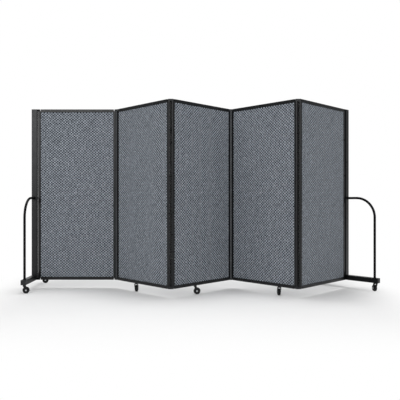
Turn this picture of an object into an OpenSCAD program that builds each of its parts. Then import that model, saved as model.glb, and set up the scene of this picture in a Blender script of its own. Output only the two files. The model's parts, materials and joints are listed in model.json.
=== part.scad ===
// Accordion folding partition: five fabric panels in slim frames, joined by
// full-length double-pivot hinges, with an arched end frame at each end, on casters.
// Z is up, the front faces -Y, and the origin is on the floor under the middle
// of the outline.

/* [Panels] */
// Height of a panel with its frame
panel_h = 1172; // [900:1:1800]
// Distance between the two hinge pivots of a panel
pivot_w = 525; // [460:1:900]
// Thickness of the panel frame
frame_t = 14; // [13:0.5:20]
// Distance from a pivot to the inner edge of its stile
stile_in = 11.5; // [11:0.5:16]
// Height of the top and bottom rails
rail_h = 19; // [18:0.5:40]
// Wall of the hollow stile and rail sections, and round the stile's pin channel
section_wall = 1.5; // [1:0.1:2]
// Thickness of the fabric-faced infill board
infill_t = 8; // [4:0.5:9]
// Depth of the grooves that hold the infill board
groove_depth = 3; // [2:0.5:4]
// Clearance between the infill board and its groove
groove_clear = 0.2; // [0.1:0.05:0.5]
// Space between the floor and the panels
floor_gap = 57; // [50:1:90]

/* [Folds] */
// Angle between the first and the second panel, 0 when they are in line
first_fold = 45; // [0:1:90]
// Angle at each of the other folds
main_fold = 90; // [30:1:120]
// Gap between two panels that are folded flat together
fold_gap = 8; // [5:0.5:10]
// Thickness of the strip between the two stiles of a fold, front to back
strip_t = 5; // [3:0.5:6]
// Clearance between that strip and each stile
strip_clear = 0.4; // [0.3:0.1:0.8]
// Distance from the side of a hinge cap to the strip's outer face
strip_inset = 0.5; // [0.2:0.1:2]
// Height of a hinge cap
cap_h = 11.5; // [6:0.5:16]
// Radius of a hinge cap round each pivot
cap_r = 7; // [5:0.5:7]
// Clearance between a hinge cap and the end of a stile
cap_clear = 0.4; // [0.3:0.1:0.8]
// Radius of a pivot pin
pin_r = 2.5; // [2:0.25:3]
// Length of a pivot pin
pin_len = 14; // [8:1:30]
// Radial running clearance of every pin, stem and axle
run_clear = 0.05; // [0.02:0.01:0.09]
// Space left past the end of a pin or stem in its bore
bore_spare = 1; // [0.5:0.5:3]

/* [End frames] */
// Width of the end post, seen from the front
post_w = 36; // [30:1:50]
// Depth of the end post
post_d = 20; // [20:1:32]
// Wall of the end post
post_wall = 2; // [1.5:0.5:3]
// Gap between the end post and the round edge of the end panel
post_gap = 6; // [4:0.5:10]
// Depth of the seal on the end post, front to back
seal_d = 8; // [6:1:18]
// Gap between that seal and the catch plates, when the end frame swings past them
seal_gap = 0.7; // [0.4:0.1:1]
// Side of the square base bar
bar_s = 32; // [28:1:34]
// Length of the base bar with its end plugs
bar_len = 480; // [460:5:700]
// Wall of the base bar
bar_wall = 2.5; // [1.5:0.5:3]
// Thickness of an end plug outside the bar
plug_t = 3; // [2:0.5:5]
// Depth of an end plug inside the bar
plug_in = 8; // [5:1:11]
// Clearance round an end plug inside the bar
plug_clear = 0.2; // [0.1:0.05:0.5]
// Outer radius of the arch tube
arch_r = 8; // [6:0.5:9]
// Wall of the arch tube
arch_wall = 1.5; // [1:0.25:2.5]
// Distance from each end of the base bar to the middle of the arch's leg
arch_inset = 30; // [20:1:60]
// Radius of the arch's bends, at the centre of the tube
arch_bend = 130; // [60:1:150]
// Height of the arch's crown above the floor, at the centre of the tube
arch_z = 619; // [400:1:800]
// Clearance round the arch where it goes through the post
arch_clear = 0.1; // [0.05:0.05:0.3]
// Width of a catch plate
catch_w = 10; // [5:0.5:10]
// Thickness of a catch plate
catch_t = 1.5; // [1:0.1:1.5]
// Height of the upper catch plate
catch_top_h = 35; // [20:1:60]
// Height of the lower catch plate
catch_low_h = 45; // [20:1:60]
// Height of the lower catch plate's bottom edge above the panel's bottom edge
catch_low_z = 14; // [13:1:60]

/* [Casters] */
// Distance from each end of the base bar to the caster stem under it
caster_inset = 25; // [20:1:50]
// Place of the caster under the second panel, from that panel's left pivot
caster_2_x = 200; // [60:1:460]
// Place of the caster under the third panel, from that panel's left pivot
caster_3_x = 196; // [60:1:460]
// Place of the caster under the fourth panel, from that panel's left pivot
caster_4_x = 394; // [60:1:460]
// Radius of a wheel
wheel_r = 22; // [18:0.5:22]
// Width of a wheel
wheel_w = 17; // [12:0.5:20]
// Horizontal distance from a caster's stem to its axle
trail = 11; // [6:0.5:14]
// Radius of the stem
stem_r = 4; // [3:0.25:4]
// Height of the stem inside its socket
stem_in = 12; // [8:0.5:12]
// Radius of the socket round the stem
socket_r = 5.3; // [5:0.1:5.3]
// Thickness of the socket's closed top
socket_cap = 1; // [0.8:0.1:1.5]
// Clearance round the socket in the bottom rail
socket_clear = 0.15; // [0.1:0.05:0.2]
// Radius of the socket's flange
flange_r = 10; // [8:0.5:12]
// Thickness of the socket's flange
flange_t = 2.5; // [2:0.5:4]
// Clearance between the flange and the fork
swivel_clear = 0.3; // [0.3:0.1:0.6]
// Thickness of the fork's crown
crown_t = 4; // [3:0.5:5]
// Length of the fork's crown, along the wheel
crown_l = 18; // [14:1:24]
// Thickness of each cheek of the fork
cheek_t = 2.5; // [2:0.25:4]
// Clearance between the wheel and each cheek
cheek_clear = 0.6; // [0.4:0.1:1]
// Radius of the cheek round the axle
cheek_r = 7; // [6:0.5:9]
// Radius of the axle
axle_r = 3; // [2:0.25:4]
// Radius of the axle's heads
axle_head_r = 5; // [4.5:0.25:6]
// Thickness of the axle's heads
axle_head_t = 1.5; // [1:0.25:3]
// Radius of the wheel's hub
hub_r = 10; // [7:0.5:13]
// Depth of the recess between the wheel's hub and its rim, each side
web_recess = 3; // [1:0.5:5]
// Thickness of the wheel's rim and tread together
rim_t = 5; // [3:0.5:7]

/* [Hidden] */
$fn = 64;
eps = 0.01; // pieces that are joined reach this far into each other
over = 1; // cuts reach this far past the solid
panels = [1, 2, 3, 4, 5];
folds = [1, 2, 3, 4];
last = len(panels);
sides = ["left", "right"];
carried = [2, 3, 4];

// Folding layout in plan, before the origin is moved to the middle of the outline
pitch = frame_t + fold_gap; // distance between the two pivots of a fold
function way(angle) = [cos(angle), sin(angle)];
function turn(i) = i == 1 ? -first_fold : i % 2 == 0 ? main_fold : -main_fold;
function heading(i) = i == 1 ? 0 : heading(i - 1) + turn(i - 1);
function strip_heading(i) = (heading(i) + heading(i + 1)) / 2;
function left_at(i) = i == 1 ? [0, 0] : right_at(i - 1) + pitch * way(strip_heading(i - 1));
function right_at(i) = left_at(i) + pivot_w * way(heading(i));

// An end frame's own plan has x pointing away from its panel, from their common pivot
nose_r = frame_t / 2;
post_in = nose_r + post_gap;
post_mid = post_in + post_w / 2;
arch_half = bar_len / 2 - arch_inset;
bar_caster = bar_len / 2 - caster_inset;
function end_at(side) = side == "left" ? left_at(1) : right_at(last);
function end_heading(side) = side == "left" ? heading(1) + 180 : heading(last);
function end_point(side, x, y) =
    end_at(side) + x * way(end_heading(side)) + y * way(end_heading(side) + 90);

// The outline reaches to the left post, the right bar's front end, the near folds
// and the left bar's rear end
low_x = end_point("left", post_in + post_w, 0)[0];
high_x = end_point("right", post_mid + bar_s / 2, -bar_len / 2)[0];
low_y = right_at(2)[1] - nose_r;
high_y = end_point("left", post_mid, -bar_len / 2)[1];
middle = [(low_x + high_x) / 2, (low_y + high_y) / 2];

// Heights above the floor
bottom_z = floor_gap;
top_z = bottom_z + panel_h;
stile_z = cap_h + cap_clear;
stile_h = panel_h - 2 * stile_z;
bar_top = bottom_z + bar_s;
groove_w = infill_t + 2 * groove_clear;
hollow_w = frame_t - 2 * section_wall;
socket_h = stem_in + bore_spare + socket_cap;

// Casters: name, place in plan, and the way the wheel trails
function mid_x(i) = [caster_2_x, caster_3_x, caster_4_x][i - 2];
function mid_place(i) = left_at(i) + mid_x(i) * way(heading(i));
casters = [
    ["left_front", end_point("left", post_mid, bar_caster), 12],
    ["left_rear", end_point("left", post_mid, -bar_caster), 14],
    ["panel_2_caster", mid_place(2), 82],
    ["panel_3_caster", mid_place(3), 4],
    ["panel_4_caster", mid_place(4), 96],
    ["right_front", end_point("right", post_mid, -bar_caster), 102],
    ["right_rear", end_point("right", post_mid, bar_caster), -100]
];
fork_top = bottom_z - flange_t - swivel_clear;
fork_in = wheel_w / 2 + cheek_clear;
fork_out = fork_in + cheek_t;

module in_panel(i) {
    place = left_at(i) - middle;
    translate([place[0], place[1], bottom_z]) rotate(heading(i)) children();
}

module in_fold(i) {
    place = right_at(i) + pitch / 2 * way(strip_heading(i)) - middle;
    translate([place[0], place[1], bottom_z]) rotate(strip_heading(i)) children();
}

module in_end(side) {
    place = end_at(side) - middle;
    translate([place[0], place[1], 0]) rotate(end_heading(side)) children();
}

module in_caster(c) {
    place = c[1] - middle;
    translate([place[0], place[1], 0]) rotate(c[2]) children();
}

// Puts its children at the left end of a panel, and turned round at the right end
module both_ends() {
    children();
    translate([pivot_w, 0, 0]) rotate(180) children();
}

// Puts its children at the bottom, and upside down at the top
module bottom_and_top() {
    children();
    translate([0, 0, panel_h]) mirror([0, 0, 1]) children();
}

// Round about the pivot, with the pin channel in it, a hollow, and the infill board's groove
module stile_profile() {
    channel_r = pin_r + run_clear;
    hollow_x = channel_r + section_wall;
    groove_in = stile_in - groove_depth;
    difference() {
        union() {
            circle(nose_r);
            translate([0, -nose_r]) square([stile_in, frame_t]);
        }
        translate([groove_in, -groove_w / 2]) square([groove_depth + eps, groove_w]);
        circle(channel_r);
        translate([hollow_x, -hollow_w / 2])
            square([groove_in - section_wall - hollow_x, hollow_w]);
    }
}

module stile() {
    translate([0, 0, stile_z]) linear_extrude(stile_h) stile_profile();
}

module panel_stiles(i) {
    color("#3c4043") in_panel(i) both_ends() stile();
}

module rail() {
    length = pivot_w - 2 * stile_in;
    hollow_h = rail_h - groove_depth - 2 * section_wall;
    difference() {
        translate([stile_in, -nose_r, 0]) cube([length, frame_t, rail_h]);
        translate([stile_in - eps, -groove_w / 2, rail_h - groove_depth])
            cube([length + 2 * eps, groove_w, groove_depth + eps]);
        translate([stile_in - eps, -hollow_w / 2, section_wall])
            cube([length + 2 * eps, hollow_w, hollow_h]);
    }
}

module panel_rails(i) {
    color("#3c4043") in_panel(i) {
        translate([0, 0, panel_h]) mirror([0, 0, 1]) rail();
        difference() {
            rail();
            if (i > 1 && i < last)
                translate([mid_x(i), 0, -eps])
                    cylinder(r = socket_r + socket_clear, h = socket_h + socket_clear + eps);
        }
    }
}

module panel_infill(i) {
    edge = groove_depth - groove_clear;
    color("#6d727a") in_panel(i)
        translate([stile_in - edge, -infill_t / 2, rail_h - edge])
            cube([pivot_w - 2 * (stile_in - edge), infill_t, panel_h - 2 * (rail_h - edge)]);
}

// The strip is on the side of the fold on which the two panels close together
module fold_strip(i) {
    strip_w = fold_gap - 2 * strip_clear;
    closing = turn(i) > 0 ? 0 : 180;
    color("#5a5e62") in_fold(i) rotate(closing)
        translate([-strip_w / 2, cap_r - strip_inset - strip_t, cap_h])
            cube([strip_w, strip_t, panel_h - 2 * cap_h]);
}

module pivot_pin() {
    translate([0, 0, cap_h - eps]) cylinder(r = pin_r, h = cap_clear + pin_len + eps);
}

module fold_caps(i) {
    color("#4b4f53") in_fold(i) bottom_and_top() {
        linear_extrude(cap_h) {
            for (x = [-pitch / 2, pitch / 2]) translate([x, 0]) circle(cap_r);
            square([pitch, 2 * cap_r], center = true);
        }
        for (x = [-pitch / 2, pitch / 2]) translate([x, 0, 0]) pivot_pin();
    }
}

module end_post(side) {
    color("#3c4043") in_end(side) difference() {
        translate([post_in, -post_d / 2, bar_top]) cube([post_w, post_d, top_z - bar_top]);
        translate([post_in + post_wall, post_wall - post_d / 2, bar_top - eps])
            cube([post_w - 2 * post_wall, post_d - 2 * post_wall, top_z - bar_top - post_wall]);
        translate([post_mid, 0, arch_z]) rotate([90, 0, 0])
            cylinder(r = arch_r + arch_clear, h = post_d + 2 * over, center = true);
    }
}

// A caster's stem socket: a sleeve with a flange under it, its blind bore open below
module socket_body() {
    cylinder(r = socket_r, h = socket_h);
    translate([0, 0, -flange_t]) cylinder(r = flange_r, h = flange_t);
}

module socket_bore() {
    translate([0, 0, -flange_t - eps])
        cylinder(r = stem_r + run_clear, h = flange_t + stem_in + bore_spare + eps);
}

module end_bar(side) {
    tube_len = bar_len - 2 * plug_t;
    hollow = bar_s - 2 * bar_wall;
    color("#26292c") in_end(side) translate([post_mid, 0, bottom_z]) difference() {
        union() {
            difference() {
                translate([-bar_s / 2, -tube_len / 2, 0]) cube([bar_s, tube_len, bar_s]);
                translate([-hollow / 2, -tube_len / 2 - eps, bar_wall])
                    cube([hollow, tube_len + 2 * eps, hollow]);
            }
            for (y = [-bar_caster, bar_caster]) translate([0, y, 0]) socket_body();
        }
        for (y = [-bar_caster, bar_caster]) translate([0, y, 0]) socket_bore();
    }
}

module end_plugs(side) {
    inner = bar_s - 2 * (bar_wall + plug_clear);
    color("#1b1d1f") in_end(side) translate([post_mid, 0, bottom_z + bar_s / 2])
        for (a = [0, 180]) rotate(a) {
            translate([-bar_s / 2, bar_len / 2 - plug_t, -bar_s / 2]) cube([bar_s, plug_t, bar_s]);
            translate([-inner / 2, bar_len / 2 - plug_t - plug_in, -inner / 2])
                cube([inner, plug_in + eps, inner]);
        }
}

module end_arch(side) {
    straight = arch_half - arch_bend;
    color("#17181a") in_end(side) translate([post_mid, 0, 0]) {
        for (a = [0, 180]) rotate(a) {
            translate([0, arch_half, bar_top]) tube(arch_z - arch_bend - bar_top);
            translate([0, straight, arch_z - arch_bend]) rotate([90, 0, 90])
                rotate_extrude(angle = 90) translate([arch_bend, 0]) ring();
        }
        translate([0, straight, arch_z]) rotate([90, 0, 0]) tube(2 * straight);
    }
}

module ring() {
    difference() {
        circle(arch_r);
        circle(arch_r - arch_wall);
    }
}

module tube(length) {
    linear_extrude(length) ring();
}

// The top lug is on the post and the bottom lug on the base bar, and a seal along
// the post, between them, closes the gap beside the end panel
module end_lugs(side) {
    bar_in = post_mid - bar_s / 2;
    seal_in = nose_r + catch_t + seal_gap;
    color("#2b2e31") in_end(side) translate([0, 0, bottom_z]) {
        lug(bar_in);
        translate([0, 0, panel_h]) mirror([0, 0, 1]) lug(post_in);
        translate([seal_in, -seal_d / 2, cap_h - eps])
            cube([post_in - seal_in, seal_d, panel_h - 2 * (cap_h - eps)]);
    }
}

module lug(reach) {
    linear_extrude(cap_h) {
        circle(cap_r);
        translate([0, -cap_r]) square([reach, 2 * cap_r]);
    }
    pivot_pin();
}

module end_catches(side) {
    upper_z = arch_z - bottom_z - catch_top_h;
    color("#121314") in_panel(side == "left" ? 1 : last)
        translate([side == "left" ? 0 : pivot_w - stile_in, -nose_r - catch_t, 0])
            for (place = [[catch_low_z, catch_low_h], [upper_z, catch_top_h]])
                translate([(stile_in - catch_w) / 2, 0, place[0]]) cube([catch_w, catch_t, place[1]]);
}

module panel_socket(i) {
    color("#1b1d1f") in_panel(i) translate([mid_x(i), 0, 0]) difference() {
        socket_body();
        socket_bore();
    }
}

module caster_fork(c) {
    crown_z = fork_top - crown_t;
    color("#1d1f21") in_caster(c) difference() {
        union() {
            translate([-crown_l / 2, -fork_out, crown_z]) cube([crown_l, 2 * fork_out, crown_t]);
            translate([0, 0, fork_top - eps])
                cylinder(r = stem_r, h = swivel_clear + flange_t + stem_in);
            for (y = [-fork_out, fork_in]) translate([0, y + cheek_t, 0]) rotate([90, 0, 0])
                linear_extrude(cheek_t) cheek(crown_z);
        }
        translate([trail, 0, wheel_r]) rotate([90, 0, 0])
            cylinder(r = axle_r, h = 2 * (fork_out + over), center = true);
    }
}

module cheek(crown_z) {
    translate([trail, wheel_r]) circle(cheek_r);
    polygon([
        [-crown_l / 2, crown_z + crown_t / 2],
        [trail - cheek_r, wheel_r],
        [trail + cheek_r, wheel_r],
        [crown_l / 2, crown_z + crown_t / 2]
    ]);
}

module caster_axle(c) {
    color("#8b8f92") in_caster(c) translate([trail, 0, wheel_r]) rotate([90, 0, 0]) {
        cylinder(r = axle_r, h = 2 * fork_out, center = true);
        for (a = [0, 180]) rotate([a, 0, 0])
            translate([0, 0, fork_out]) cylinder(r = axle_head_r, h = axle_head_t);
    }
}

module caster_wheel(c) {
    web_w = wheel_w - 2 * web_recess;
    color("#2a2b2d") in_caster(c) translate([trail, 0, wheel_r]) rotate([90, 0, 0]) difference() {
        cylinder(r = wheel_r, h = wheel_w, center = true);
        for (a = [0, 180]) rotate([a, 0, 0]) translate([0, 0, web_w / 2]) difference() {
            cylinder(r = wheel_r - rim_t, h = web_recess + over);
            translate([0, 0, -over]) cylinder(r = hub_r, h = web_recess + 3 * over);
        }
        cylinder(r = axle_r + run_clear, h = wheel_w + 2 * over, center = true);
    }
}

for (i = panels) {
    panel_stiles(i);
    panel_rails(i);
    panel_infill(i);
}
for (i = folds) {
    fold_strip(i);
    fold_caps(i);
}
for (s = sides) {
    end_post(s);
    end_bar(s);
    end_plugs(s);
    end_arch(s);
    end_lugs(s);
    end_catches(s);
}
for (i = carried) {
    panel_socket(i);
}
for (c = casters) {
    caster_fork(c);
    caster_axle(c);
    caster_wheel(c);
}
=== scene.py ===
import json
import math

import bmesh
import bpy
from mathutils import Matrix, Vector, noise

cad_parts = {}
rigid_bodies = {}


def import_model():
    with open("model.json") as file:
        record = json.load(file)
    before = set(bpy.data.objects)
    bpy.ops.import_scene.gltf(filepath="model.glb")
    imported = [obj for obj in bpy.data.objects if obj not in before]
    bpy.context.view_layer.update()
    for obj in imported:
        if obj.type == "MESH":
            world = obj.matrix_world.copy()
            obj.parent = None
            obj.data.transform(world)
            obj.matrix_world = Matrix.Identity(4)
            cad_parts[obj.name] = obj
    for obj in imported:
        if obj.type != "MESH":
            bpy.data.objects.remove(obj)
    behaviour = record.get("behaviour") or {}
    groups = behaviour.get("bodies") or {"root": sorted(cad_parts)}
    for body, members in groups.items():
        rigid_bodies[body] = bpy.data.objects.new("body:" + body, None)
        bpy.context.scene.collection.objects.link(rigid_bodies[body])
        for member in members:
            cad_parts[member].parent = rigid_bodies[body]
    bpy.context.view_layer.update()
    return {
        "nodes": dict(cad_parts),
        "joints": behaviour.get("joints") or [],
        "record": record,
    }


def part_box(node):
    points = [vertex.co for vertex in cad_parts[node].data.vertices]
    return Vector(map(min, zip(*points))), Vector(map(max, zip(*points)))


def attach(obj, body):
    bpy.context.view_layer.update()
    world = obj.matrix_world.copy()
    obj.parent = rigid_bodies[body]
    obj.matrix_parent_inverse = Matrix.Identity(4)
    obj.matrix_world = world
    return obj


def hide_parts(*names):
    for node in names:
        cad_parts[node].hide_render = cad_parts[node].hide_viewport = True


for thing in list(bpy.data.objects):  # the start-up cube, lamp and camera
    bpy.data.objects.remove(thing, do_unlink=True)
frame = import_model()
nodes = frame["nodes"]
jointAt = {joint["name"]: Vector(joint["pos_m"]) for joint in frame["joints"]}
sides = ("left", "right")
print("frame loaded:", len(nodes), "nodes")


# where things stand
panel = {
    "bottom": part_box("panel_1_rails")[0].z,   # all sizes in metres
    "top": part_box("panel_1_rails")[1].z,
    "stileIn": 0.0115,                        # from a pivot to the stile's inner edge
    "railHigh": 0.019,
    "frameThick": 0.014,
    "boardThick": 0.008,
    "pivots": {1: ("left_end_pivot", "fold_1_left_pivot"),
               2: ("fold_1_right_pivot", "fold_2_left_pivot"),
               3: ("fold_2_right_pivot", "fold_3_left_pivot"),
               4: ("fold_3_right_pivot", "fold_4_left_pivot"),
               5: ("fold_4_right_pivot", "right_end_pivot")},
}


def standAt(point, toward, z):
    # a place at point with its own x axis pointing toward another point
    way = toward - point
    return Matrix.Translation((point.x, point.y, z)) @ Matrix.Rotation(math.atan2(way.y, way.x), 4, "Z")


def panelPlace(number):
    left, right = (jointAt[name] for name in panel["pivots"][number])
    return standAt(left, right, panel["bottom"])


def endPlace(side):
    left, right = (jointAt[name] for name in panel["pivots"][1 if side == "left" else 5])
    pivot, other = (left, right) if side == "left" else (right, left)
    return standAt(pivot, 2 * pivot - other, 0)  # x points away from the panel


def casterPlace(name):
    return standAt(jointAt[f"{name}_swivel_turn"], jointAt[f"{name}_wheel_turn"], 0)


firstLeft, firstRight = (jointAt[name] for name in panel["pivots"][1])
pivotWide = (firstRight - firstLeft).length
openLow = Vector((panel["stileIn"], 0, panel["railHigh"]))
openHigh = Vector((pivotWide - panel["stileIn"], 0, panel["top"] - panel["bottom"] - panel["railHigh"]))
casterNames = [name[:-len("_swivel_turn")] for name in jointAt if name.endswith("_swivel_turn")]


# material helpers
def addNode(tree, kind, inputs=None, **settings):
    node = tree.nodes.new("ShaderNode" + kind)
    for key, value in settings.items():
        setattr(node, key, value)
    for key, value in (inputs or {}).items():
        if isinstance(value, bpy.types.NodeSocket):
            tree.links.new(value, node.inputs[key])
        else:
            node.inputs[key].default_value = value
    return node


def calc(tree, operation, *values, clamp=False):
    node = addNode(tree, "Math", dict(enumerate(values)), operation=operation)
    node.use_clamp = clamp
    return node.outputs[0]


def blendColour(tree, share, first, second, kind="MIX"):
    node = addNode(tree, "Mix", data_type="RGBA", blend_type=kind)
    for key, value in ((0, share), (6, first), (7, second)):
        if isinstance(value, bpy.types.NodeSocket):
            tree.links.new(value, node.inputs[key])
        else:
            node.inputs[key].default_value = value
    return node.outputs[2]


def span(tree, value, low, high, newLow=0.0, newHigh=1.0):
    node = addNode(tree, "MapRange", {0: value, 1: low, 2: high, 3: newLow, 4: newHigh})
    return node.outputs[0]


def grainNoise(tree, point, size, detail=2.0, rough=0.5):
    # noise whose patches are about size metres across
    shape = {"Vector": point, "Scale": 1 / size, "Detail": detail, "Roughness": rough}
    return addNode(tree, "TexNoise", shape).outputs["Fac"]


def newMaterial(name):
    material = bpy.data.materials.new(name)
    material.use_nodes = True
    tree = material.node_tree
    tree.nodes.clear()
    shader = addNode(tree, "BsdfPrincipled")
    output = addNode(tree, "OutputMaterial")
    tree.links.new(shader.outputs[0], output.inputs["Surface"])
    return material, tree, shader


def rgb(*levels):
    # 0-255 screen levels to a linear colour
    def straight(level):
        share = level / 255
        return share / 12.92 if level <= 10.3 else ((share + 0.055) / 1.055) ** 2.4

    return (*(straight(level) for level in levels), 1)


def addBump(tree, shader, height, strength, depth):
    bump = addNode(tree, "Bump", {"Height": height, "Strength": strength, "Distance": depth})
    tree.links.new(bump.outputs[0], shader.inputs["Normal"])


# materials
coat = {
    "cloudFrom": (0.3, 0.7),       # noise levels between which the coat goes from dark to light
    "speckSize": 2.2,              # specks, in sizes of the orange peel
    "speckFrom": (0.62, 0.72),
    "edgeFrom": (0.995, 0.9),      # cosine of the surface's turn where an edge starts, and where it is full
    "rubSize": 0.012,
    "rubFrom": (0.45, 0.7),
    "glossSize": 0.03,
    "glossFrom": (0.3, 0.7),
    "peelDepth": 0.0004,
}


def coatedMetal(name, look):
    # powder-coated or painted metal: orange peel, uneven gloss, edges rubbed lighter
    material, tree, shader = newMaterial(name)
    point = addNode(tree, "TexCoord").outputs["Object"]
    cloud = grainNoise(tree, point, look["cloud"], 3.0)
    speck = grainNoise(tree, point, look["peel"] * coat["speckSize"], 1.0)
    tone = blendColour(tree, span(tree, cloud, *coat["cloudFrom"]), rgb(*look["dark"]), rgb(*look["light"]))
    speckShare = span(tree, speck, *coat["speckFrom"], 0.0, look["speck"])
    tone = blendColour(tree, speckShare, tone, rgb(*look["worn"]))
    plain = addNode(tree, "NewGeometry").outputs["Normal"]
    rounded = addNode(tree, "Bevel", {"Radius": look["edge"]}, samples=4).outputs[0]
    meet = addNode(tree, "VectorMath", {0: plain, 1: rounded}, operation="DOT_PRODUCT").outputs["Value"]
    onEdge = span(tree, meet, *coat["edgeFrom"])
    rubbed = span(tree, grainNoise(tree, point, coat["rubSize"], 3.0), *coat["rubFrom"])
    rub = calc(tree, "MULTIPLY", onEdge, rubbed, clamp=True)
    tone = blendColour(tree, calc(tree, "MULTIPLY", rub, look["rub"]), tone, rgb(*look["worn"]))
    tree.links.new(tone, shader.inputs["Base Color"])
    gloss = span(tree, grainNoise(tree, point, coat["glossSize"], 4.0), *coat["glossFrom"], *look["rough"])
    tree.links.new(gloss, shader.inputs["Roughness"])
    shader.inputs["Specular IOR Level"].default_value = look["shine"]
    addBump(tree, shader, grainNoise(tree, point, look["peel"], 1.0), look["bump"], coat["peelDepth"])
    return material


def brightSteel(name, look):
    # turned or rolled bright metal with fine lines and dull patches
    material, tree, shader = newMaterial(name)
    point = addNode(tree, "TexCoord").outputs["Object"]
    stretched = addNode(tree, "Mapping", {"Vector": point, "Scale": look["lines"]}).outputs[0]
    lines = grainNoise(tree, stretched, look["lineSize"], 2.0)
    patch = grainNoise(tree, point, look["patchSize"], 3.0)
    tone = blendColour(tree, span(tree, patch, 0.35, 0.7), rgb(*look["light"]), rgb(*look["dark"]))
    tree.links.new(tone, shader.inputs["Base Color"])
    shader.inputs["Metallic"].default_value = look["metal"]
    rough = calc(tree, "ADD", span(tree, lines, 0.3, 0.7, *look["rough"]),
                 span(tree, patch, 0.5, 0.8, 0.0, look["dull"]))
    tree.links.new(rough, shader.inputs["Roughness"])
    addBump(tree, shader, lines, look["bump"], look["lineDepth"])
    return material


moulding = {"dustFrom": (0.45, 0.75), "roughFrom": (0.3, 0.75), "grainDepth": 0.0003}


def mouldedPlastic(name, look):
    # matt moulded plastic or rubber: fine texture, dusty patches
    material, tree, shader = newMaterial(name)
    point = addNode(tree, "TexCoord").outputs["Object"]
    dust = grainNoise(tree, point, look["dustSize"], 4.0, 0.6)
    dusty = span(tree, dust, *moulding["dustFrom"], 0.0, look["dust"])
    tone = blendColour(tree, dusty, rgb(*look["dark"]), rgb(*look["light"]))
    tree.links.new(tone, shader.inputs["Base Color"])
    rough = span(tree, dust, *moulding["roughFrom"], *look["rough"])
    tree.links.new(rough, shader.inputs["Roughness"])
    shader.inputs["Specular IOR Level"].default_value = look["shine"]
    addBump(tree, shader, grainNoise(tree, point, look["grain"], 2.0), look["bump"], moulding["grainDepth"])
    return material


tweed = {
    "cell": (0.0104, 0.0090),        # one block of the basket weave, across and up
    "threads": 4,                    # threads in a block
    "light": (204, 212, 222),        # warp yarn
    "dark": (38, 44, 52),            # weft yarn
    "fleck": (214, 217, 222),
    "check": (-0.08, 0.522),         # share of light yarn in weft and warp blocks
    "blockVary": 0.13,               # how far blocks differ from each other
    "yarnVary": 0.62,                # how far the yarns in a block differ
    "tradeVary": 0.20,               # light yarn traded between two neighbouring blocks
    "clumpVary": 0.015,
    "clumpSize": 0.018,
    "boltVary": 0.01,
    "boltSize": 0.25,
    "fleckFrom": 0.90,               # only the palest yarns show as flecks
    "fleckShare": 0.5,
    "slack": 0.0016,                 # how far a yarn strays from its place
    "strayScale": 90,
    "roundness": 0.6,                # lower is flatter on top
    "dip": 0.35,                     # lower dips under more suddenly
    "paintedGapShadeAndHighlight": (0.62, 1.06),        # painted shade in the gaps and painted highlight on top of the yarns
    "fibreSize": 0.0007,
    "fibreHigh": 0.35,
    "rough": (0.82, 1.0),
    "shine": 0.2,
    "sheen": (0.12, 0.5),            # weight and roughness
    "bump": (0.6, 0.0006),           # strength and depth
}


def scatter(tree, *place):
    # one random number for each whole place; the last number keeps one use apart from another
    where = addNode(tree, "CombineXYZ", dict(enumerate(place))).outputs[0]
    return addNode(tree, "TexWhiteNoise", {"Vector": where}, noise_dimensions="3D").outputs["Value"]


def choose(tree, isSecond, first, second):
    return addNode(tree, "Mix", {0: isSecond, 2: first, 3: second}, data_type="FLOAT").outputs[0]


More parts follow.
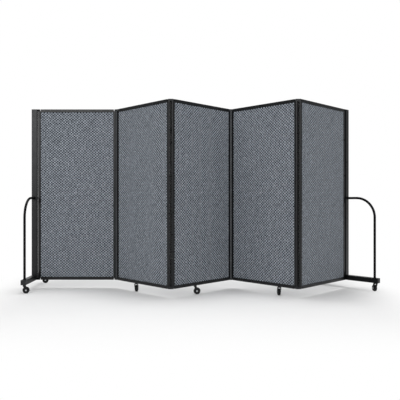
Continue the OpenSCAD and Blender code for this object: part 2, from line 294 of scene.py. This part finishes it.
def wovenCloth(name, look):
    # basket weave: blocks of upright yarns beside blocks of level yarns, each yarn a little different
    material, tree, shader = newMaterial(name)
    point = addNode(tree, "TexCoord").outputs["Object"]
    stray = {"Vector": point, "Scale": look["strayScale"], "Detail": 1.0}
    drift = addNode(tree, "TexNoise", stray).outputs["Color"]
    slack = addNode(tree, "VectorMath", {0: drift, 1: (0.5, 0.5, 0.5)}, operation="SUBTRACT").outputs[0]
    slack = addNode(tree, "VectorMath", {0: slack, "Scale": look["slack"]}, operation="SCALE").outputs[0]
    point = addNode(tree, "VectorMath", {0: point, 1: slack}, operation="ADD").outputs[0]
    split = addNode(tree, "SeparateXYZ", {0: point})
    across = calc(tree, "DIVIDE", split.outputs["X"], look["cell"][0])
    up = calc(tree, "DIVIDE", split.outputs["Z"], look["cell"][1])
    column, row = calc(tree, "FLOOR", across), calc(tree, "FLOOR", up)
    half = calc(tree, "MULTIPLY", calc(tree, "ADD", column, row), 0.5)
    isWarp = calc(tree, "MULTIPLY", calc(tree, "FRACT", half), 2.0)  # 1 where the upright yarns lie on top

    def wave(place):
        return calc(tree, "ABSOLUTE", calc(tree, "SINE", calc(tree, "MULTIPLY", place, math.pi)))

    def yarn(along, place, salt):
        # rounded yarns side by side, each dipping under at the ends of its block
        count = calc(tree, "MULTIPLY", place, look["threads"])
        height = calc(tree, "MULTIPLY", calc(tree, "POWER", wave(count), look["roundness"]),
                      calc(tree, "POWER", wave(along), look["dip"]))
        # two yarns side by side share a number, and what one has the other lacks
        twin = calc(tree, "MULTIPLY", calc(tree, "FLOOR", count), 0.5)
        shade = scatter(tree, calc(tree, "FLOOR", twin), calc(tree, "FLOOR", along), salt)
        isSecond = calc(tree, "MULTIPLY", calc(tree, "FRACT", twin), 2.0)
        return height, choose(tree, isSecond, shade, calc(tree, "SUBTRACT", 1.0, shade))

    warpHigh, warpShade = yarn(up, across, 3.0)
    weftHigh, weftShade = yarn(across, up, 7.0)
    height = choose(tree, isWarp, weftHigh, warpHigh)
    shade = choose(tree, isWarp, weftShade, warpShade)
    blockShade = scatter(tree, column, row, 1.0)
    trade = scatter(tree, calc(tree, "FLOOR", half), row, 5.0)
    clump = grainNoise(tree, point, look["clumpSize"], 3.0, 0.7)
    bolt = grainNoise(tree, point, look["boltSize"], 2.0)

    share = span(tree, isWarp, 0.0, 1.0, *look["check"])
    for part, kind in ((blockShade, "blockVary"), (shade, "yarnVary"), (bolt, "boltVary")):
        uneven = calc(tree, "SUBTRACT", part, 0.5)
        share = calc(tree, "ADD", share, calc(tree, "MULTIPLY", uneven, look[kind]))
    # what a warp block gains its neighbour loses, so the cloth stays even from a distance
    gain = calc(tree, "MULTIPLY", calc(tree, "SUBTRACT", trade, 0.5), span(tree, isWarp, 0.0, 1.0, -1.0, 1.0))
    share = calc(tree, "ADD", share, calc(tree, "MULTIPLY", gain, look["tradeVary"]))
    clumped = span(tree, clump, 0.25, 0.75, -look["clumpVary"], look["clumpVary"])
    share = calc(tree, "ADD", share, clumped, clamp=True)
    tone = blendColour(tree, share, rgb(*look["dark"]), rgb(*look["light"]))
    fleck = calc(tree, "GREATER_THAN", calc(tree, "MULTIPLY", shade, blockShade), look["fleckFrom"])
    tone = blendColour(tree, calc(tree, "MULTIPLY", fleck, look["fleckShare"]), tone, rgb(*look["fleck"]))
    deep = span(tree, height, 0.0, 0.9, *look["paintedGapShadeAndHighlight"])  # painted shade: gaps between yarns darkened, yarn tops a little lighter as a painted highlight
    # the painted shade and highlight are multiplied into the yarn colour
    paintedGapShadeColour = addNode(tree, "CombineColor", {0: deep, 1: deep, 2: deep}).outputs[0]
    tone = blendColour(tree, 1.0, tone, paintedGapShadeColour, "MULTIPLY")
    tree.links.new(tone, shader.inputs["Base Color"])
    fibre = grainNoise(tree, point, look["fibreSize"], 3.0, 0.7)
    tree.links.new(span(tree, fibre, 0.2, 0.8, *look["rough"]), shader.inputs["Roughness"])
    shader.inputs["Specular IOR Level"].default_value = look["shine"]
    shader.inputs["Sheen Weight"].default_value = look["sheen"][0]
    shader.inputs["Sheen Roughness"].default_value = look["sheen"][1]
    relief = calc(tree, "ADD", height, calc(tree, "MULTIPLY", fibre, look["fibreHigh"]))
    addBump(tree, shader, relief, *look["bump"])
    return material


frameLook = {
    "dark": (9, 11, 13),        # colours in 0-255 screen levels
    "light": (15, 17, 20),
    "worn": (68, 73, 78),       # specks and rubbed edges
    "cloud": 0.08,              # size of the lighter and darker patches
    "peel": 0.0012,             # size of the orange peel
    "edge": 0.0007,             # how far in from an edge it is rubbed
    "rub": 0.25,
    "speck": 0.10,
    "rough": (0.26, 0.36),
    "shine": 0.3,
    "bump": 0.08,
}
finishes = {
    "frame": coatedMetal("satinBlackCoat", frameLook),
    "post": coatedMetal("postBlackCoat", {**frameLook, "dark": (13, 15, 17), "light": (20, 22, 25),
                                          "cloud": 0.12}),
    "bar": coatedMetal("barBlackCoat", {**frameLook, "dark": (5, 6, 7), "light": (9, 10, 12), "shine": 0.16,
                                        "rough": (0.34, 0.46), "rub": 0.3}),
    "strip": coatedMetal("hingeStripGrey", {**frameLook, "dark": (52, 55, 58), "light": (66, 69, 72),
                                            "worn": (140, 142, 144), "rough": (0.3, 0.42)}),
    "caps": coatedMetal("hingeCapGrey", {**frameLook, "dark": (22, 24, 26), "light": (30, 32, 34),
                                         "worn": (110, 112, 114), "rough": (0.34, 0.46)}),
    "tube": coatedMetal("glossBlackTube", {**frameLook, "dark": (2, 2, 3), "light": (4, 4, 5),
                                           "rough": (0.22, 0.3), "shine": 0.08, "speck": 0.03,
                                           "bump": 0.04, "rub": 0.16}),
    "fittings": coatedMetal("fittingBlack", {**frameLook, "dark": (3, 3, 4), "light": (7, 7, 8),
                                             "rough": (0.4, 0.5), "shine": 0.12, "speck": 0.04}),
    "forks": coatedMetal("forkBlack", {**frameLook, "dark": (9, 10, 11), "light": (15, 16, 17),
                                       "cloud": 0.02}),
    "fabric": wovenCloth("blueGreyTweed", tweed),
    "plugs": mouldedPlastic("blackPlugPlastic", {"dark": (11, 11, 12), "light": (34, 35, 36), "dust": 0.5,
                                                 "dustSize": 0.02, "rough": (0.45, 0.6), "shine": 0.3,
                                                 "grain": 0.0008, "bump": 0.2}),
    "wheels": mouldedPlastic("darkWheelRubber", {"dark": (9, 9, 10), "light": (34, 34, 34), "dust": 0.45,
                                                 "dustSize": 0.012, "rough": (0.5, 0.7), "shine": 0.2,
                                                 "grain": 0.0006, "bump": 0.25}),
    "axles": brightSteel("brightSteel", {"light": (214, 216, 218), "dark": (150, 151, 152), "metal": 1.0,
                                         "rough": (0.2, 0.36), "dull": 0.15, "patchSize": 0.006,
                                         "lines": (1, 1, 8), "lineSize": 0.0006, "lineDepth": 0.0002,
                                         "bump": 0.25}),
}
darkRubber = mouldedPlastic("blackRubber", {"dark": (5, 5, 6), "light": (18, 18, 19), "dust": 0.4,
                                            "dustSize": 0.015, "rough": (0.6, 0.75), "shine": 0.14,
                                            "grain": 0.0007, "bump": 0.2})
wheelPlastic = mouldedPlastic("wheelCorePlastic", {"dark": (11, 11, 12), "light": (30, 31, 32), "dust": 0.4,
                                                   "dustSize": 0.01, "rough": (0.4, 0.55), "shine": 0.25,
                                                   "grain": 0.0006, "bump": 0.15})
barPlug = mouldedPlastic("greyPlugPlastic", {"dark": (20, 21, 23), "light": (40, 42, 44), "dust": 0.5,
                                             "dustSize": 0.02, "rough": (0.45, 0.6), "shine": 0.32,
                                             "grain": 0.0008, "bump": 0.2})
print("materials made:", len(finishes) + 3)

for row in frame["record"]["subparts"]:
    coats = nodes[row["node"]].data.materials
    coats.clear()
    coats.append(barPlug if row["node"].endswith("_plugs") else finishes[row["material_slot"]])


# rounded edges on the CAD pieces
edgeRounding = {"stiles": 0.0005, "rails": 0.0005, "infill": 0.0005, "strip": 0.0008, "caps": 0.0010,
                "post": 0.0007, "bar": 0.0015, "plugs": 0.0012, "arch": 0.0003, "lugs": 0.0008,
                "catches": 0.0004, "socket": 0.0004, "fork": 0.0005, "axle": 0.0005}
edging = {"joinWithin": 0.000002, "segments": 2, "sharperThan": 40}
for name, piece in nodes.items():
    kind = name.rsplit("_", 1)[-1]
    if kind not in edgeRounding:
        continue
    weld = piece.modifiers.new("joinCorners", "WELD")
    weld.merge_threshold = edging["joinWithin"]
    rounding = piece.modifiers.new("roundEdges", "BEVEL")
    rounding.width = edgeRounding[kind]
    rounding.segments = edging["segments"]
    rounding.limit_method = "ANGLE"
    rounding.angle_limit = math.radians(edging["sharperThan"])
    even = piece.modifiers.new("evenShading", "WEIGHTED_NORMAL")
    even.keep_sharp = False
print("edges rounded")


# mesh helpers
def meshPiece(name, bm, material, smooth=True):
    mesh = bpy.data.meshes.new(name)
    for face in bm.faces:
        face.smooth = smooth
    bm.to_mesh(mesh)
    bm.free()
    mesh.materials.append(material)
    piece = bpy.data.objects.new(name, mesh)
    bpy.context.scene.collection.objects.link(piece)
    return piece


def finishPiece(name, bm, place, body, slot, smooth=True, material=None):
    # a closed piece with its faces turned outward, bound to its body
    bmesh.ops.recalc_face_normals(bm, faces=bm.faces)
    piece = meshPiece(name, bm, material or finishes[slot], smooth)
    piece.matrix_world = place
    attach(piece, body)
    return piece


def turned(bm, profile, place, segments=32, closed=False, bend=None):
    # turns a profile of (radius, height) about z; bend may shift a point by its angle
    rings = []
    for index, (radius, height) in enumerate(profile):
        if radius == 0:
            rings.append([bm.verts.new(place @ Vector((0, 0, height)))])
            continue
        ring = []
        for step in range(segments):
            angle = 2 * math.pi * step / segments
            r, h = bend(index, angle, radius, height) if bend else (radius, height)
            ring.append(bm.verts.new(place @ Vector((r * math.cos(angle), r * math.sin(angle), h))))
        rings.append(ring)
    pairs = list(zip(rings, rings[1:])) + ([(rings[-1], rings[0])] if closed else [])
    for lower, upper in pairs:
        for step in range(segments):
            after = (step + 1) % segments
            corners = ([lower[0]] if len(lower) == 1 else [lower[step], lower[after]])
            corners += ([upper[0]] if len(upper) == 1 else [upper[after], upper[step]])
            if len(corners) > 2:
                bm.faces.new(corners)


def tubeLoop(bm, points, radius, across, sections=8):
    # a closed round bead along a flat loop; across is the loop's own normal
    rings = []
    count = len(points)
    for index, point in enumerate(points):
        way = (points[(index + 1) % count] - points[index - 1]).normalized()
        out = way.cross(across)
        rings.append([bm.verts.new(point + radius * (math.cos(a) * out + math.sin(a) * across))
                      for a in (2 * math.pi * k / sections for k in range(sections))])
    for index in range(count):
        here, there = rings[index], rings[(index + 1) % count]
        for k in range(sections):
            bm.faces.new((here[k], here[(k + 1) % sections], there[(k + 1) % sections], there[k]))


def roundedLoop(low, high, corner, y, steps=5):
    # points round an upright rectangle with rounded corners
    centres = ((high.x - corner, high.z - corner, 0), (low.x + corner, high.z - corner, 90),
               (low.x + corner, low.z + corner, 180), (high.x - corner, low.z + corner, 270))
    points = []
    for x, z, start in centres:
        for k in range(steps):
            angle = math.radians(start + 90 * k / (steps - 1))
            points.append(Vector((x + corner * math.cos(angle), y, z + corner * math.sin(angle))))
    return points


screw = {
    "radius": 0.0028,
    "high": 0.0012,
    "socket": 0.0011,
    "deep": 0.0007,
    "dome": ((1, 0), (1, 0.25), (0.93, 0.6), (0.75, 0.88), (0.55, 1)),  # shares of radius and height
    "segments": 24,
}
flushScrew = {**screw, "radius": 0.0024, "high": 0.0005, "deep": 0.0003}


def screwHead(bm, place, look=screw):
    # button head with a six-sided socket, its seat at the place's origin
    r, h, hexagon = look["radius"], look["high"], look["socket"]
    head = [(r * out, h * up) for out, up in look["dome"]]
    profile = [(0, 0), *head, (hexagon, h), (hexagon, h - look["deep"]), (0, h - look["deep"])]
    socketPoints = (len(head) + 1, len(head) + 2)

    def sixSided(index, angle, radius, height):
        if index in socketPoints:
            turn = (angle % math.radians(60)) - math.radians(30)
            radius = radius / math.cos(turn)
        return radius, height

    turned(bm, profile, place, look["segments"], bend=sixSided)


facingFront = Matrix.Rotation(math.radians(90), 4, "X")   # z of a turned piece points to -y
facingRear = Matrix.Rotation(math.radians(-90), 4, "X")


# cloth faces
cloth = {
    "thick": 0.0005,
    "clear": 0.0002,        # from the board to the edge of the cloth
    "lift": 0.0006,         # how far the cloth rises from its edge to its flat part
    "crown": 0.0007,        # and from there to the middle
    "edgeRoll": 0.0035,
    "rollTight": 2.2,
    "ripple": 0.00012,
    "rippleSize": 0.11,
    "rippleApart": 3.7,     # how far apart two panels lie in the ripple noise
    "step": 0.0095,
    "nearSteps": (0, 0.2, 0.45, 0.75, 1.2, 2, 3.5),  # steps near an edge, in rolls
    "turnIn": 0.003,        # on each side, part of the flat size only
}


def stepsAlong(length):
    # fine steps near both ends, where the cloth rolls in, and even ones between
    near = [cloth["edgeRoll"] * share for share in cloth["nearSteps"]]
    count = max(2, round((length - 2 * near[-1]) / cloth["step"]))
    middle = [near[-1] + (length - 2 * near[-1]) * k / count for k in range(1, count)]
    return near + middle + [length - value for value in reversed(near)]


def clothFace(number, side):
    # one face of a panel: side -1 is the front, +1 the rear
    size = openHigh - openLow
    xs, zs = stepsAlong(size.x), stepsAlong(size.z)
    bm = bmesh.new()
    grid = []
    for z in zs:
        line = []
        for x in xs:
            fromEdge = min(x, size.x - x, z, size.z - z)
            roll = 1 - math.exp(-cloth["rollTight"] * fromEdge / cloth["edgeRoll"])
            wave = noise.noise(Vector((x, z, cloth["rippleApart"] * number + side)) / cloth["rippleSize"])
            swell = math.sin(math.pi * x / size.x) * math.sin(math.pi * z / size.z)
            high = cloth["lift"] * roll + cloth["crown"] * swell ** 0.5 * roll + cloth["ripple"] * wave * roll
            y = side * (panel["boardThick"] / 2 + cloth["clear"] + high)
            line.append(bm.verts.new((openLow.x + x, y, openLow.z + z)))
        grid.append(line)
    for low, high in zip(grid, grid[1:]):
        for k in range(len(low) - 1):
            corners = [low[k], low[k + 1], high[k + 1], high[k]]
            bm.faces.new(corners if side < 0 else corners[::-1])
    piece = meshPiece(f"panel_{number}_cloth_{'front' if side < 0 else 'rear'}", bm, finishes["fabric"])
    piece.matrix_world = panelPlace(number)
    thickness = piece.modifiers.new("clothThickness", "SOLIDIFY")
    thickness.thickness = cloth["thick"]
    thickness.offset = -1
    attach(piece, f"panel_{number}")


for number in panel["pivots"]:
    for side in (-1, 1):
        clothFace(number, side)
print("cloth faces stretched: 10")


# piping round the cloth
piping = {"radius": 0.0009, "corner": 0.004}
for number in panel["pivots"]:
    bm = bmesh.new()
    inset = Vector((piping["radius"], 0, piping["radius"]))
    for side in (-1, 1):
        y = side * (panel["boardThick"] / 2 + piping["radius"])
        loop = roundedLoop(openLow + inset, openHigh - inset, piping["corner"], y)
        tubeLoop(bm, loop, piping["radius"], Vector((0, 1, 0)))
    finishPiece(f"panel_{number}_piping", bm, panelPlace(number), f"panel_{number}", "plugs",
                material=darkRubber)
print("piping laid")


# ribbed seals inside the folds: they close the slits beside the strips, and their dark rubber stands in as
# painted shade in the folds' gaps
foldSealPaintedShade = {
    "wide": 0.0066,
    "thick": 0.0012,
    "lip": 0.0039,          # from the middle to the lip's edge
    "lipFrom": 0.0007,      # the lip's two faces, from the strip
    "lipTo": 0.0010,
    "ribs": 3,
    "ribHigh": 0.0006,
    "ribShape": ((0.0, 0.0), (0.25, 0.7), (0.5, 1.0), (0.75, 0.7), (1.0, 0.0)),  # shares of width, height
    "clearEnd": 0.0004,
    "stripThick": 0.005,
}


def foldPlace(number):
    left = jointAt[panel["pivots"][number][1]]
    right = jointAt[panel["pivots"][number + 1][0]]
    return standAt((left + right) / 2, right, 0)


def foldSealPaintedShadePiece(number):
    # a dark rubber seal on the hidden face of a hinge strip; where it shows in a fold's gap, its dark colour
    # is painted shade
    bottom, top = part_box(f"fold_{number}_strip")
    place = foldPlace(number)
    centre = place.inverted() @ ((bottom + top) / 2)
    inward = -1 if centre.y > 0 else 1
    base = centre.y + inward * foldSealPaintedShade["stripThick"] / 2
    # a thin lip at each edge closes the slit beside the strip
    half, lip = foldSealPaintedShade["wide"] / 2, foldSealPaintedShade["lip"]
    outline = [(-half, 0.0), (-lip, foldSealPaintedShade["lipFrom"]), (-lip, foldSealPaintedShade["lipTo"])]
    ribWide = foldSealPaintedShade["wide"] / foldSealPaintedShade["ribs"]
    for rib in range(foldSealPaintedShade["ribs"]):
        for across, up in foldSealPaintedShade["ribShape"]:
            high = foldSealPaintedShade["thick"] - foldSealPaintedShade["ribHigh"] * (1 - up)
            outline.append((-half + ribWide * (rib + across), high))
    outline += [(lip, foldSealPaintedShade["lipTo"]), (lip, foldSealPaintedShade["lipFrom"]), (half, 0.0)]
    bm = bmesh.new()
    rings = []
    for z in (bottom.z + foldSealPaintedShade["clearEnd"], top.z - foldSealPaintedShade["clearEnd"]):
        rings.append([bm.verts.new((x, base + inward * y, z)) for x, y in outline])
    for k in range(len(outline)):
        after = (k + 1) % len(outline)
        bm.faces.new((rings[0][k], rings[0][after], rings[1][after], rings[1][k]))
    bm.faces.new(rings[0][::-1])
    bm.faces.new(rings[1])
    finishPiece(f"fold_{number}_seal", bm, place, f"fold_{number}", "plugs", smooth=False,
                material=darkRubber)


for number in (1, 2, 3, 4):
    foldSealPaintedShadePiece(number)
print("fold seals fitted: 4")


# end frames: collars and screws
endFrame = {
    "postMid": 0.031,             # from the pivot to the middle of the post
    "postDeep": 0.020,
    "archZ": 0.619,
    "tube": 0.008,                # radius of the arch's tube
    "legAt": 0.210,
    "barTop": 0.089,
    "screwsAcross": (-0.009, 0.009),
    "screwsUp": (0.112, 0.150),
}
collar = {"wide": 0.0035, "high": 0.0028, "lip": 0.0008, "steps": 40}


def collarRing(bm, place, bore):
    # a rubber ring round a tube, seated on a flat face
    outer, h, lip = bore + collar["wide"], collar["high"], collar["lip"]
    profile = [(bore, 0), (outer, 0), (outer, lip), (outer - lip * 0.6, lip * 1.8),
               (outer - lip * 2.0, h * 0.75), (bore + lip, h), (bore, h)]
    turned(bm, profile, place, collar["steps"], closed=True)


for side in sides:
    body = f"{side}_end"
    postMid, face = endFrame["postMid"], endFrame["postDeep"] / 2
    bm = bmesh.new()
    for facing, y in ((facingFront, -face), (facingRear, face)):
        collarRing(bm, Matrix.Translation((postMid, y, endFrame["archZ"])) @ facing, endFrame["tube"])
    for y in (-endFrame["legAt"], endFrame["legAt"]):
        collarRing(bm, Matrix.Translation((postMid, y, endFrame["barTop"])), endFrame["tube"])
    finishPiece(f"{side}_collars", bm, endPlace(side), body, "plugs", material=darkRubber)

    # four screws in the post's foot, front and rear
    bm = bmesh.new()
    for facing, y in ((facingFront, -face), (facingRear, face)):
        for z in endFrame["screwsUp"]:
            for x in endFrame["screwsAcross"]:
                screwHead(bm, Matrix.Translation((postMid + x, y, z)) @ facing)
    finishPiece(f"{side}_post_screws", bm, endPlace(side), body, "fittings")


# screws in the catch plates
catch = {
    "thick": 0.0015,
    "plates": ((0.014, 0.045), (0.527, 0.035)),  # where each plate starts, and how high it is
    "screwIn": 0.007,                            # from a plate's end to its screw
}
for side, number in (("left", 1), ("right", 5)):
    bm = bmesh.new()
    middle = panel["stileIn"] / 2 if side == "left" else pivotWide - panel["stileIn"] / 2
    y = -panel["frameThick"] / 2 - catch["thick"]
    for low, high in catch["plates"]:
        for z in (low + catch["screwIn"], low + high - catch["screwIn"]):
            screwHead(bm, Matrix.Translation((middle, y, z)) @ facingFront, flushScrew)
    finishPiece(f"{side}_catch_screws", bm, panelPlace(number), f"panel_{number}", "fittings")
print("end frames dressed")


# caster wheels
wheel = {
    "radius": 0.022,
    "wide": 0.017,
    "rim": 0.0165,
    # from the tyre's side to its middle: how far under its radius, and share of half its width
    "tread": ((0.0035, 0.93), (0.0018, 0.86), (0.0006, 0.66), (0.0001, 0.42),
              (0.0006, 0.38), (0.0006, 0.30),  # the groove
              (0, 0.26)),
    "rimEdge": 0.86,
    "bore": 0.0031,
    "hub": 0.010,
    "hubEdge": ((-0.003, 0), (-0.0012, 0.0006), (0, 0.0035)),  # from the hub's radius, and under its face
    "web": 0.0058,
    "webFrom": 0.001,       # past the hub
    "webTo": 0.0015,        # short of the rim
    "seat": ((-0.0005, 0.80), (0.0003, 0.86)),  # where the tyre sits: past the rim, and in half widths
    "ribs": 6,
    "ribShare": 0.09,       # half a rib's width, in the space from rib to rib
    "ribTop": 0.72,         # in half widths
    "tyreSteps": 64,
    "coreSteps": 72,
}


def bothSides(profile):
    return profile + [(radius, -height) for radius, height in reversed(profile)]


def wheelPieces(name):
    place = casterPlace(name)
    axle = jointAt[f"{name}_wheel_turn"]
    trail = (axle - jointAt[f"{name}_swivel_turn"]).to_2d().length
    centre = place @ Matrix.Translation((trail, 0, axle.z)) @ facingFront
    rim, hub, web, half = wheel["rim"], wheel["hub"], wheel["web"], wheel["wide"] / 2
    # tyre: crowned tread with two fine grooves, rounded shoulders
    tread = [(rim, half * wheel["rimEdge"])]
    tread += [(wheel["radius"] - under, half * share) for under, share in wheel["tread"]]
    bm = bmesh.new()
    turned(bm, bothSides(tread), Matrix.Identity(4), wheel["tyreSteps"], closed=True)
    tyrePiece = finishPiece(f"{name}_tyre", bm, centre, f"{name}_roller", "wheels")
    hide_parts(f"{name}_wheel")
    # core: hub with rounded edges, web with ribs, and a rim that goes a little way into the tyre
    core = [(wheel["bore"], half)] + [(hub + out, half - under) for out, under in wheel["hubEdge"]]
    core += [(hub + wheel["webFrom"], web), (rim - wheel["webTo"], web)]
    core += [(rim + out, half * share) for out, share in wheel["seat"]]
    webPoints = (4, 5, 10, 11)  # the web's two faces, which the ribs raise

    def ribbed(index, angle, radius, height):
        if index in webPoints:
            turn = (angle * wheel["ribs"] / (2 * math.pi)) % 1
            if abs(turn - 0.5) < wheel["ribShare"]:
                height = math.copysign(half * wheel["ribTop"], height)
        return radius, height

    bm = bmesh.new()
    turned(bm, bothSides(core), Matrix.Identity(4), wheel["coreSteps"], closed=True, bend=ribbed)
    finishPiece(f"{name}_wheel_core", bm, centre, f"{name}_roller", "plugs", smooth=False,
                material=wheelPlastic)


for name in casterNames:
    wheelPieces(name)
print("caster wheels made:", len(casterNames))


# floor, backdrop, light
studio = {
    "floorHalf": 9.0,
    "floorColour": (0.78, 0.78, 0.78, 1),
    "shadeMiddle": -0.07,         # where the shaded part of the floor is centred, across
    "fadeAcross": (0.94, 1.44),   # how far from there its shade starts to fade, and where it is plain white
    "fadeDeep": (0.65, 1.55),     # the same toward the front and the back
    "ambient": 0.34,
    "sideLevel": 0.12,            # what polished metal sees to the left and right
    "sideFade": (0.35, 0.8),      # where that ends, toward the front and the back
}


def smoothFade(tree, value, between, start, end):
    limits = {0: value, 1: between[0], 2: between[1], 3: start, 4: end}
    return addNode(tree, "MapRange", limits, interpolation_type="SMOOTHSTEP").outputs[0]


def seenRays(tree):
    # 1 for rays that show the background: camera, glossy and transmission
    paths = addNode(tree, "LightPath")
    seen = calc(tree, "MAXIMUM", paths.outputs["Is Camera Ray"], paths.outputs["Is Glossy Ray"])
    return calc(tree, "MAXIMUM", seen, paths.outputs["Is Transmission Ray"])


paper = bpy.data.materials.new("studioPaper")
paper.use_nodes = True
tree = paper.node_tree
tree.nodes.clear()
point = addNode(tree, "TexCoord").outputs["Object"]
matt = addNode(tree, "BsdfDiffuse", {"Color": studio["floorColour"]})
white = addNode(tree, "Emission", {"Color": (1, 1, 1, 1), "Strength": 1.0})
split = addNode(tree, "SeparateXYZ", {0: point})
aside = calc(tree, "SUBTRACT", split.outputs["X"], studio["shadeMiddle"])
shade = 1.0
for away, fade in ((aside, studio["fadeAcross"]), (split.outputs["Y"], studio["fadeDeep"])):
    shade = calc(tree, "MULTIPLY", smoothFade(tree, calc(tree, "ABSOLUTE", away), fade, 1.0, 0.0), shade)
share = calc(tree, "MULTIPLY", calc(tree, "SUBTRACT", 1.0, shade), seenRays(tree))
mixed = addNode(tree, "MixShader", {0: share, 1: matt.outputs[0], 2: white.outputs[0]})
addNode(tree, "OutputMaterial", {"Surface": mixed.outputs[0]})

bm = bmesh.new()
half = studio["floorHalf"]
corners = [bm.verts.new((x, y, 0)) for x, y in ((-half, -half), (half, -half), (half, half), (-half, half))]
bm.faces.new(corners)
floor = meshPiece("studioFloor", bm, paper, smooth=False)

world = bpy.data.worlds.new("studioAir")
bpy.context.scene.world = world
world.use_nodes = True
tree = world.node_tree
tree.nodes.clear()
way = addNode(tree, "TexCoord").outputs["Generated"]
split = addNode(tree, "SeparateXYZ", {0: way})
ends = calc(tree, "ABSOLUTE", split.outputs["Y"])
ends = smoothFade(tree, ends, studio["sideFade"], studio["sideLevel"], 1.0)
paths = addNode(tree, "LightPath")
shiny = calc(tree, "MAXIMUM", paths.outputs["Is Glossy Ray"], paths.outputs["Is Transmission Ray"])
shown = calc(tree, "MAXIMUM", paths.outputs["Is Camera Ray"], calc(tree, "MULTIPLY", shiny, ends))
air = addNode(tree, "Background", {"Color": (1, 1, 1, 1), "Strength": studio["ambient"]})
backdrop = addNode(tree, "Background", {"Color": (1, 1, 1, 1), "Strength": 1.0})
mixed = addNode(tree, "MixShader", {0: shown, 1: air.outputs[0], 2: backdrop.outputs[0]})
addNode(tree, "OutputWorld", {"Surface": mixed.outputs[0]})

lamps = {
    "keyLeft": {"at": (-2.3, -4.3, 2.3), "aim": (-0.2, 0.0, 0.6), "size": (2.6, 2.4), "watts": 62},
    "fillRight": {"at": (2.5, -4.2, 2.0), "aim": (0.2, 0.0, 0.6), "size": (2.4, 2.2), "watts": 42},
    "ceiling": {"at": (0.0, 0.1, 3.4), "aim": (0.0, 0.0, 0.0), "size": (5.0, 3.0), "watts": 85},
    "overhead": {"at": (0.0, 0.35, 4.6), "aim": (0.0, 0.05, 0.0), "size": (1.4, 0.8), "watts": 60},
}
for name, lamp in lamps.items():
    light = bpy.data.lights.new(name, "AREA")
    light.shape = "RECTANGLE"
    light.size, light.size_y = lamp["size"]
    light.energy = lamp["watts"]
    holder = bpy.data.objects.new(name, light)
    holder.location = lamp["at"]
    holder.rotation_euler = (Vector(lamp["aim"]) - Vector(lamp["at"])).to_track_quat("-Z", "Y").to_euler()
    bpy.context.scene.collection.objects.link(holder)


# camera
shot = {"at": (-0.0173, -3.5497, 0.6058), "lens": 47.33, "sensor": 36.0}
eye = bpy.data.cameras.new("shot")
eye.lens, eye.sensor_width = shot["lens"], shot["sensor"]
camera = bpy.data.objects.new("shot", eye)
camera.location = shot["at"]
camera.rotation_euler = (math.radians(90), 0, 0)
bpy.context.scene.collection.objects.link(camera)
bpy.context.scene.camera = camera
bpy.context.scene.view_settings.view_transform = "Standard"
print("studio lit, camera placed")
